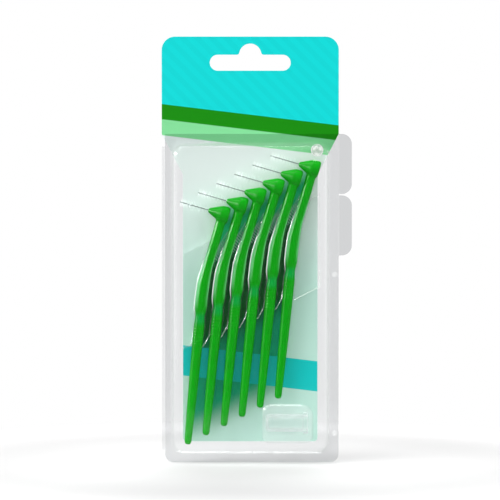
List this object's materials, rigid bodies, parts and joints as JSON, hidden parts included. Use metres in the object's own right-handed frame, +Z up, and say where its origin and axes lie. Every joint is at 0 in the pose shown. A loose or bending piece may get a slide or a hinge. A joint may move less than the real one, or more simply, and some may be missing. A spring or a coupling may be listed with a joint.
{
  "type": "interdental brush pack",
  "caption": "Clear hinged clamshell on a Euro-slot header card, holding angled interdental brushes with wire-stem heads in a separated row, and a clear travel cap.",
  "frame": {"origin": "centre of the hang slot's bar, in the middle of the card's thickness", "axes": "+X right, +Y to the back of the pack, +Z up"},
  "size_m": [0.0752, 0.0119, 0.1686],
  "materials": {
    "card": "printed, semi-gloss",
    "clear_sheet": "clear thermoformed sheet",
    "clear_cap": "clear moulded plastic",
    "handle": "satin green",
    "wire": "bright drawn wire",
    "bristles": "white nylon"
  },
  "bodies": {
    "back": {"back_shell": "clear_sheet", "header_card": "card", "living_hinge": "clear_sheet"},
    "front": {"front_shell": "clear_sheet", "travel_cap": "clear_cap", "brush_1_handle": "handle", "brush_1_wire": "wire", "brush_1_bristles": "bristles", "brush_2_handle": "handle", "brush_2_wire": "wire", "brush_2_bristles": "bristles", "brush_3_handle": "handle", "brush_3_wire": "wire", "brush_3_bristles": "bristles", "brush_4_handle": "handle", "brush_4_wire": "wire", "brush_4_bristles": "bristles", "brush_5_handle": "handle", "brush_5_wire": "wire", "brush_5_bristles": "bristles", "brush_6_handle": "handle", "brush_6_wire": "wire", "brush_6_bristles": "bristles"}
  },
  "joints": [
    {"name": "shell_hinge", "type": "hinge", "parent": "back", "child": "front", "pos_m": [-0.03439, 0, -0.09322], "axis": [0, 0, -1], "range_deg": [0, 170]}
  ]
}
